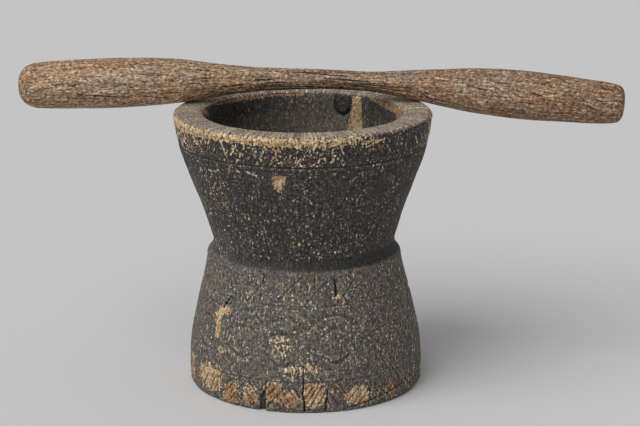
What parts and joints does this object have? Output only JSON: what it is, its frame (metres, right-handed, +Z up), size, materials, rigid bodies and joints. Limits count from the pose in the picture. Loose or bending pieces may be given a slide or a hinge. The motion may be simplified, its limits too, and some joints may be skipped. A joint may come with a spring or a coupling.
{
  "type": "grinding mortar with pestle",
  "caption": "Carved wooden floor mortar with a flared bowl, narrow neck and wide foot, and a double-ended wooden pestle lying across its rim.",
  "frame": {"origin": "on the floor under the foot, at the mortar's upright axis", "axes": "+Z up along the mortar's axis, +X along the pestle to its squarer end, -Y the front"},
  "size_m": [0.9876, 0.4158, 0.5197],
  "materials": {
    "dark_carved_wood": "old, smoke-blackened, carved and worn",
    "worn_brown_wood": "old, dry, weathered grain"
  },
  "bodies": {
    "mortar": {"mortar": "dark_carved_wood"},
    "pestle": {"pestle": "worn_brown_wood"}
  },
  "joints": [
    {"name": "pestle_lift", "type": "slide", "parent": "mortar", "child": "pestle", "axis": [0, 0, 1], "range_m": [0, 0.4]}
  ]
}
